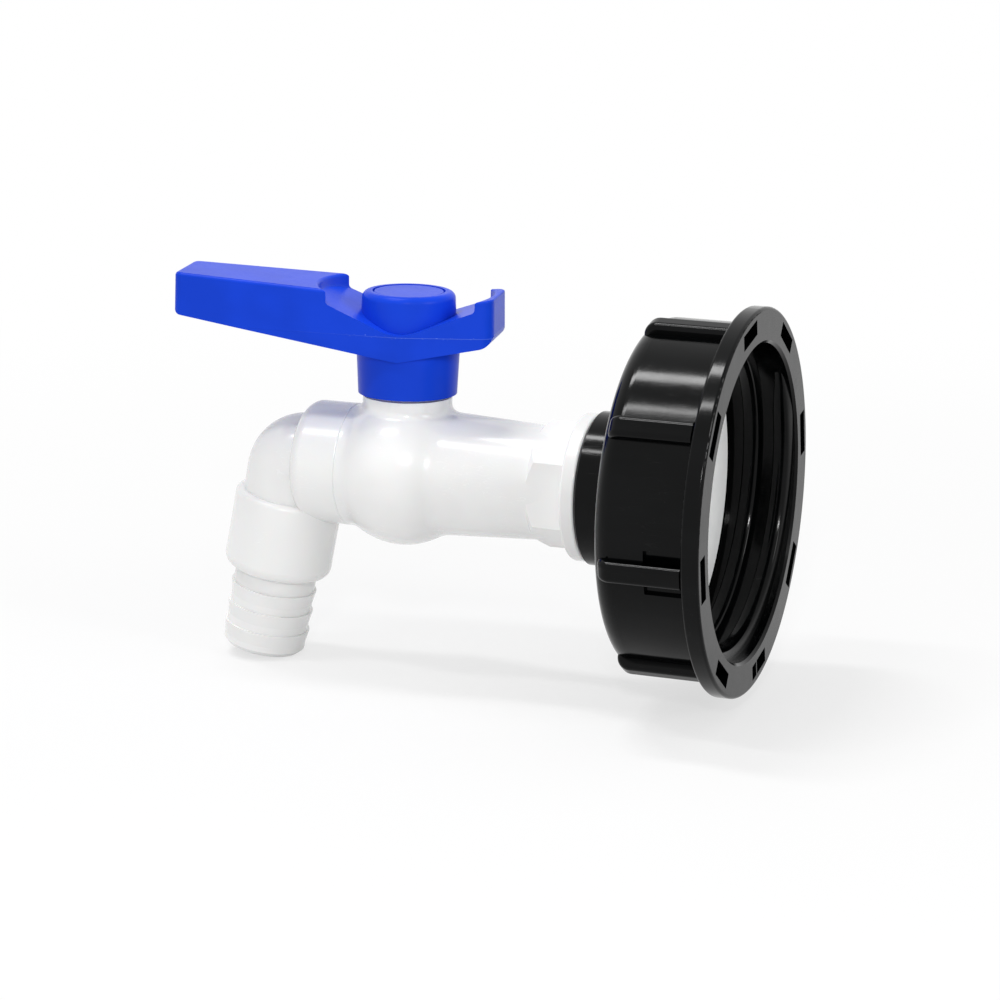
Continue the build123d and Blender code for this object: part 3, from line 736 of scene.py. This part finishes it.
def mesh_piece(
    name: str, mesh: bmesh.types.BMesh, material: bpy.types.Material
) -> bpy.types.Object:
    """Turns a bmesh into a smooth shaded object in the scene.

    Args:
        name: The object's name.
        mesh: Its mesh, in metres in the tap's frame; freed afterwards.
        material: Its finish.

    Returns:
        The object.
    """
    bmesh.ops.recalc_face_normals(mesh, faces=mesh.faces)
    data = bpy.data.meshes.new(name)
    mesh.to_mesh(data)
    mesh.free()
    data.materials.append(material)
    for polygon in data.polygons:
        polygon.use_smooth = True
    made = bpy.data.objects.new(name, data)
    bpy.context.scene.collection.objects.link(made)
    return made


def dress(frame: dict[str, Any], material: bpy.types.Material, *nodes: str) -> None:
    """Gives CAD nodes their finish.

    Args:
        material: The finish.
        nodes: Names of the nodes.
    """
    for name in nodes:
        materials = frame["nodes"][name].data.materials
        materials.clear()
        materials.append(material)
        LOG.info("dressed %s in %s", name, material.name)


@dataclass
class CouplingNut:
    """Coupling nut with the coarse thread in its mouth, dressed together with the adapter.

    Lengths are in millimetres and angles in degrees.
    """

    root_r: float = 30.3
    crest_r: float = 28.2
    pitch: float = 6.0
    first_x: float = 1.7
    last_x: float = 11.2
    start_angle: float = 200.0
    root_half: float = 2.1
    crest_half: float = 1.2
    flank_steps: int = 5
    fade_angle: float = 28.0
    fade_height: float = 0.02
    fade_width: float = 0.35
    steps_per_turn: int = 160

    def section(self, share: float) -> list[tuple[float, float]]:
        """Section of the ridge.

        Args:
            share: Height of the ridge as a share of its full height.

        Returns:
            Points of (offset along the axis, radius).
        """
        rise = (self.root_r - self.crest_r) * share
        width = self.fade_width + (1 - self.fade_width) * share
        flank = []
        for index in range(self.flank_steps + 1):
            turn = index / self.flank_steps
            bend = math.sin(turn * math.pi / 2)
            offset = self.root_half + (self.crest_half - self.root_half) * turn
            flank.append((offset * width, self.root_r - rise * bend))
        return [(-offset, radius) for offset, radius in flank] + flank[::-1]

    def height_share(self, from_end: float) -> float:
        """Height of the ridge near its ends.

        Args:
            from_end: Angle from the nearer end, in degrees.

        Returns:
            The height as a share of the full one.
        """
        share = min(1.0, self.fade_height + from_end / self.fade_angle)
        return share * share * (3 - 2 * share)

    def thread(self, material: bpy.types.Material) -> bpy.types.Object:
        """Builds the helical ridge of the female thread.

        Args:
            material: Its finish.

        Returns:
            The ridge.
        """
        mesh = bmesh.new()
        turns = (self.last_x - self.first_x) / self.pitch
        steps = round(turns * self.steps_per_turn)
        rows = []
        for index in range(steps + 1):
            angle = 360 * turns * index / steps
            share = self.height_share(min(angle, 360 * turns - angle))
            x = self.first_x + self.pitch * angle / 360
            turn = math.radians(angle + self.start_angle)
            row = []
            for offset, radius in self.section(share):
                point = Vector((x + offset, radius * math.cos(turn), radius * math.sin(turn)))
                row.append(mesh.verts.new(point * MM))
            rows.append(row)
        for first, second in zip(rows, rows[1:]):
            for index in range(len(first) - 1):
                after = index + 1
                mesh.faces.new((first[index], first[after], second[after], second[index]))
        return mesh_piece("nut_thread", mesh, material)

    def build(self, frame: dict[str, Any], finish: bpy.types.Material) -> None:
        """Dresses the nut and the adapter, and adds the nut's thread.

        Args:
            finish: The black finish of both.
        """
        dress(frame, finish, "tank_nut", "tank_adapter")
        thread = self.thread(finish)
        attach(thread, Body.NUT.value)
        LOG.info("built %s", thread.name)


@dataclass
class ValveTap:
    """Valve body, spout, ball and stem, and the sealing parts inside."""

    white: MouldedWhite = MouldedWhite("body_white")
    spout: MouldedWhite = MouldedWhite("spout_white", (0.81, 0.81, 0.805))
    polished: MouldedWhite = MouldedWhite(
        "ball_white", (0.8, 0.8, 0.78), (0.76, 0.76, 0.74), 0.16, False
    )
    gasket: SoftSeal = SoftSeal("gasket_white", (0.88, 0.89, 0.88), (0.84, 0.85, 0.85), 0.42)
    seat: SoftSeal = SoftSeal("seat_white", (0.86, 0.86, 0.84), (0.8, 0.8, 0.78), 0.4)
    rings: SoftSeal = SoftSeal("ring_black", (0.02, 0.02, 0.02), (0.014, 0.014, 0.014), 0.5)

    def build(self, frame: dict[str, Any]) -> None:
        """Dresses the body, the spout and what is inside.
        """
        dress(frame, self.white.build(), "valve_body", "seat_retainer")
        dress(frame, self.spout.build(), "spout_elbow", "hose_nozzle")
        dress(frame, self.polished.build(), "ball", "stem")
        dress(frame, self.gasket.build(), "tank_gasket")
        dress(frame, self.seat.build(), "inlet_seat", "outlet_seat", "stem_washer")
        seals = ("body_o_ring", "stem_o_rings", "elbow_o_ring", "nozzle_o_ring")
        dress(frame, self.rings.build(), *seals)


@dataclass
class Lever:
    """Blue lever with its cap, screw and washer."""

    blue: LeverBlue = LeverBlue()
    steel: TurnedSteel = TurnedSteel()

    def build(self, frame: dict[str, Any]) -> None:
        """Dresses the lever and its fastening.
        """
        dress(frame, self.blue.build(), "handle", "handle_cap")
        dress(frame, self.steel.build(), "handle_screw", "screw_washer")


@dataclass(frozen=True)
class Lamp:
    """Soft rectangular lamp, with its first side along the nut's axis. Metres and watts."""

    name: str
    at: Place
    toward: Place
    size: tuple[float, float]
    power: float

    def build(self) -> bpy.types.Object:
        """Adds the lamp to the scene.

        Returns:
            The lamp.
        """
        data = bpy.data.lights.new(self.name, "AREA")
        data.shape = "RECTANGLE"
        data.size, data.size_y = self.size
        data.energy = self.power
        made = bpy.data.objects.new(self.name, data)
        back = (Vector(self.at) - Vector(self.toward)).normalized()
        axis = Vector((1.0, 0.0, 0.0))
        along = (axis - back * axis.dot(back)).normalized()
        axes = Matrix((along, back.cross(along), back)).transposed().to_4x4()
        made.matrix_world = Matrix.Translation(Vector(self.at)) @ axes
        bpy.context.scene.collection.objects.link(made)
        return made


@dataclass
class Studio:
    """Floor, backdrop light, lamps and camera. The camera's place and the floor in millimetres."""

    floor_z: float = -39.8
    floor_half_m: float = 6.0
    floor_dark: Colour = (0.75, 0.75, 0.75)
    floor_light: Colour = (0.78, 0.78, 0.78)
    floor_patches: Patches = Patches(60.0)
    shadow_share: float = 0.35
    shadow_end: float = 420.0
    world_level: float = 0.56
    backdrop_level: float = 1.0
    camera_at: Place = (181.40, -613.73, 149.45)
    camera_back: Place = (0.32629, -0.91694, 0.22968)
    camera_right: Place = (0.94213, 0.33525, 0.0)
    camera_roll: float = 1.11
    lens: float = 126.0
    sensor: float = 36.0
    clip_near_m: float = 0.05
    clip_far_m: float = 50.0
    lamps: tuple[Lamp, ...] = (
        Lamp("rear_strip", (-0.31, 0.03, 0.86), (-0.02, 0, 0), (0.3, 0.1), 3.0),
        Lamp("front_strip", (-0.31, -0.33, 0.8), (-0.02, 0, 0), (0.3, 0.06), 1.9),
        Lamp("front_lamp", (0.22, -0.83, 0.42), (-0.03, 0, 0), (0.07, 0.07), 1.9),
        Lamp("right_lamp", (0.8, -0.25, 0.35), (0, 0, 0), (0.3, 0.3), 2.8),
    )

    def floor_finish(self) -> bpy.types.Material:
        """Makes the floor's finish: matt where it is lit, and white to the camera.

        Returns:
            The material.
        """
        tree = ShaderTree.material("floor_white")
        where = tree.place()
        x, y, _ = tree.parts(where)
        patches = tree.noise(where, self.floor_patches)
        colour = tree.mix(patches, self.floor_dark, self.floor_light)
        matt = tree.node("ShaderNodeBsdfDiffuse", None, {"Color": colour})
        glow_inputs = {"Color": WHITE, "Strength": self.backdrop_level}
        glow = tree.node("ShaderNodeEmission", None, glow_inputs)
        fade = Span(0.0, self.shadow_end, 1 - self.shadow_share, 1.0)
        plain = (x * x + y * y).root().between(fade)
        inputs = {0: tree.backdrop_rays() * plain, 1: matt.outputs[0], 2: glow.outputs[0]}
        mixed = tree.node("ShaderNodeMixShader", None, inputs)
        return tree.end(Output.MATERIAL, mixed.outputs[0])

    def floor(self) -> bpy.types.Object:
        """Builds the pale floor, which keeps the tap's shadow.

        Returns:
            The floor.
        """
        mesh = bmesh.new()
        half = self.floor_half_m
        corners = [(-half, -half), (half, -half), (half, half), (-half, half)]
        mesh.faces.new([mesh.verts.new((a, b, self.floor_z * MM)) for a, b in corners])
        made = mesh_piece("studio_floor", mesh, self.floor_finish())
        return made

    def room(self) -> bpy.types.World:
        """Lights the room evenly, with a white backdrop for the camera and for reflections.

        Returns:
            The world.
        """
        tree = ShaderTree.world("studio_room")
        inputs = {"Color": WHITE, "Strength": self.world_level}
        light = tree.node("ShaderNodeBackground", None, inputs)
        inputs = {"Color": WHITE, "Strength": self.backdrop_level}
        backdrop = tree.node("ShaderNodeBackground", None, inputs)
        inputs = {0: tree.backdrop_rays(), 1: light.outputs[0], 2: backdrop.outputs[0]}
        mixed = tree.node("ShaderNodeMixShader", None, inputs)
        world = tree.end(Output.WORLD, mixed.outputs[0])
        bpy.context.scene.world = world
        return world

    def camera(self) -> bpy.types.Object:
        """Places the camera at the photograph's angle.

        Returns:
            The camera.
        """
        data = bpy.data.cameras.new("photo_camera")
        data.lens = self.lens
        data.sensor_width = self.sensor
        data.clip_start, data.clip_end = self.clip_near_m, self.clip_far_m
        back, right = Vector(self.camera_back).normalized(), Vector(self.camera_right).normalized()
        up = back.cross(right)
        turn = math.radians(self.camera_roll)
        side = right * math.cos(turn) + up * math.sin(turn)
        top = up * math.cos(turn) - right * math.sin(turn)
        made = bpy.data.objects.new("photo_camera", data)
        axes = Matrix((side, top, back)).transposed().to_4x4()
        made.matrix_world = Matrix.Translation(Vector(self.camera_at) * MM) @ axes
        bpy.context.scene.collection.objects.link(made)
        bpy.context.scene.camera = made
        return made

    def build(self) -> None:
        """Builds the floor, the room's light, the lamps and the camera."""
        made = [self.floor(), self.room(), *(lamp.build() for lamp in self.lamps), self.camera()]
        bpy.context.scene.view_settings.view_transform = "Standard"
        LOG.info("built the studio: %s", ", ".join(piece.name for piece in made))


def main() -> None:
    """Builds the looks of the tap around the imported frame."""
    logging.basicConfig(level=logging.INFO, format="%(name)s: %(message)s")
    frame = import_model()
    CouplingNut().build(frame, NutBlack().build())
    ValveTap().build(frame)
    Lever().build(frame)
    Studio().build()


if __name__ == "__main__":
    main()
